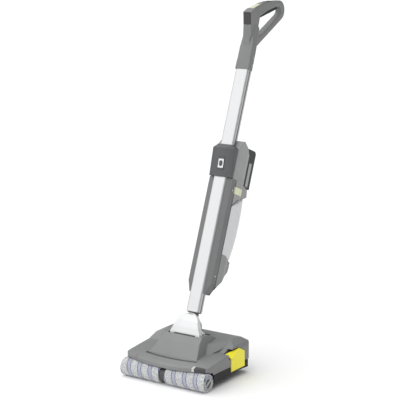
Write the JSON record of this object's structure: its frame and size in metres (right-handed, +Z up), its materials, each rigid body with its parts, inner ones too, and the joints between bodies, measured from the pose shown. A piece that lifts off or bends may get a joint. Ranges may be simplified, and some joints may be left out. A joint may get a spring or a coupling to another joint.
{
  "type": "upright wet dry floor scrubber",
  "caption": "Cordless upright floor scrubber: wide roller head with bell-shaped pivot neck, slim stick carrying water tank and battery, and a loop handle.",
  "frame": {"origin": "on the floor under the middle of the whole machine's outline", "axes": "+X is the machine's right-hand side, +Y points back to the user, +Z is up"},
  "size_m": [0.316, 0.7034, 1.15],
  "materials": {
    "grey_plastic": "satin moulded shell",
    "dark_plastic": "satin moulded",
    "black_plastic": "fine grained moulding",
    "black_rubber": "soft matt rubber",
    "gearbox_plastic": "glass-filled nylon",
    "gear_plastic": "machined acetal",
    "steel": "ground steel",
    "cast_metal": "die-cast, dark coated",
    "wiper_rubber": "flexible blade",
    "wheel_rubber": "moulded tread",
    "core_plastic": "moulded",
    "microfibre": "short microfibre pile with striped rows",
    "yellow_plastic": "satin yellow",
    "white_plastic": "semi-gloss white",
    "aluminium_tube": "silver satin anodised",
    "circuit_board": "solder resist",
    "clear_hose": "milky flexible hose",
    "pale_plastic": "pale glossy plate",
    "black_gloss": "glossy black",
    "clear_tank": "translucent grey moulding",
    "battery_plastic": "moulded battery case"
  },
  "bodies": {
    "head": {"chassis_tray": "black_plastic", "head_cover": "grey_plastic", "bumper_left": "black_rubber", "bumper_right": "black_rubber", "gearbox_left": "gearbox_plastic", "gearbox_right": "gearbox_plastic", "motor_can": "steel", "wiper_holder": "black_plastic", "wiper_lip": "wiper_rubber", "spray_bar": "black_plastic", "pivot_pins": "steel", "wheel_axles": "steel", "latch_pins": "steel", "roller_bearings": "steel", "head_screws": "steel"},
    "rollers": {"roller_shaft": "steel", "roller_gear": "gear_plastic", "roller_core_left": "core_plastic", "roller_core_right": "core_plastic", "fleece_left": "microfibre", "fleece_right": "microfibre", "roller_cap_left": "core_plastic", "roller_cap_right": "core_plastic"},
    "idler": {"idler_gear": "gear_plastic"},
    "rotor": {"motor_rotor": "steel"},
    "left_wheel": {"wheel_left": "wheel_rubber"},
    "right_wheel": {"wheel_right": "wheel_rubber"},
    "left_latch": {"latch_left": "yellow_plastic"},
    "right_latch": {"latch_right": "yellow_plastic"},
    "waste_tank": {"dirty_tank": "black_plastic", "dirty_tank_lid": "black_plastic"},
    "neck": {"bell_shell": "white_plastic", "neck_core": "cast_metal", "pivot_bushes": "gear_plastic", "roll_pin": "steel"},
    "stick": {"main_tube": "aluminium_tube", "tube_strips": "dark_plastic", "tube_foot": "dark_plastic", "front_shell": "grey_plastic", "collar": "dark_plastic", "upper_housing": "grey_plastic", "lower_housing": "grey_plastic", "icon_plate": "white_plastic", "water_pump": "core_plastic", "control_board": "circuit_board", "feed_hose": "clear_hose", "handle_left": "grey_plastic", "handle_right": "grey_plastic", "lean_pad": "black_gloss", "handle_display": "pale_plastic", "stick_screws": "steel", "trigger_pin": "steel"},
    "release": {"release_button": "dark_plastic"},
    "water_tank": {"fresh_tank": "clear_tank"},
    "filler_cap": {"tank_cap": "dark_plastic"},
    "battery": {"battery_pack": "battery_plastic"},
    "battery_catch": {"battery_latch": "dark_plastic"},
    "grip_trigger": {"trigger": "black_gloss"},
    "power_key": {"power_button": "dark_plastic"}
  },
  "joints": [
    {"name": "roller_spin", "type": "hinge", "parent": "head", "child": "rollers", "pos_m": [0, -0.32267, 0.029], "axis": [1, 0, 0], "continuous": true},
    {"name": "idler_spin", "type": "hinge", "parent": "head", "child": "idler", "pos_m": [0, -0.29274, 0.04512], "axis": [1, 0, 0], "continuous": true},
    {"name": "rotor_spin", "type": "hinge", "parent": "head", "child": "rotor", "pos_m": [0, -0.27072, 0.05697], "axis": [1, 0, 0], "continuous": true},
    {"name": "left_wheel_spin", "type": "hinge", "parent": "head", "child": "left_wheel", "pos_m": [-0.105, -0.09867, 0.014], "axis": [1, 0, 0], "continuous": true},
    {"name": "right_wheel_spin", "type": "hinge", "parent": "head", "child": "right_wheel", "pos_m": [0.105, -0.09867, 0.014], "axis": [1, 0, 0], "continuous": true},
    {"name": "left_latch_turn", "type": "hinge", "parent": "head", "child": "left_latch", "pos_m": [-0.1536, -0.15367, 0.032], "axis": [0, -1, 0], "range_deg": [0, 30]},
    {"name": "right_latch_turn", "type": "hinge", "parent": "head", "child": "right_latch", "pos_m": [0.1536, -0.15367, 0.032], "axis": [0, 1, 0], "range_deg": [0, 30]},
    {"name": "waste_tank_slide", "type": "slide", "parent": "head", "child": "waste_tank", "axis": [0, 1, 0], "range_m": [0, 0.11]},
    {"name": "neck_pitch", "type": "hinge", "parent": "head", "child": "neck", "pos_m": [0, -0.19667, 0.12], "axis": [1, 0, 0], "range_deg": [-45, 21]},
    {"name": "stick_roll", "type": "hinge", "parent": "neck", "child": "stick", "pos_m": [0, -0.18556, 0.14894], "axis": [0, 0.9336, -0.3584], "range_deg": [-30, 30]},
    {"name": "release_press", "type": "slide", "parent": "stick", "child": "release", "axis": [0, 0.9668, -0.2554], "range_m": [0, 0.0025], "stiffness_N_per_m": 300},
    {"name": "water_tank_slide", "type": "slide", "parent": "stick", "child": "water_tank", "axis": [0, 0.9336, -0.3584], "range_m": [0, 0.08]},
    {"name": "filler_cap_turn", "type": "hinge", "parent": "water_tank", "child": "filler_cap", "pos_m": [0, 0.04119, 0.44108], "axis": [0, 0.9336, -0.3584], "range_deg": [0, 90]},
    {"name": "battery_slide", "type": "slide", "parent": "stick", "child": "battery", "axis": [0, 0.3584, 0.9336], "range_m": [0, 0.13]},
    {"name": "battery_catch_press", "type": "slide", "parent": "stick", "child": "battery_catch", "axis": [0, -0.9336, 0.3584], "range_m": [0, 0.004], "stiffness_N_per_m": 400},
    {"name": "trigger_pull", "type": "hinge", "parent": "stick", "child": "grip_trigger", "pos_m": [0, 0.30617, 1.13416], "axis": [-1, 0, 0], "range_deg": [0, 2.6], "stiffness_Nm_per_rad": 6},
    {"name": "power_press", "type": "slide", "parent": "stick", "child": "power_key", "axis": [0, 0.0401, -0.9992], "range_m": [0, 0.0012], "stiffness_N_per_m": 400}
  ],
  "couplings": [
    {"joint": "idler_spin", "follows": "roller_spin", "ratio": -1.125},
    {"joint": "rotor_spin", "follows": "roller_spin", "ratio": 2}
  ]
}
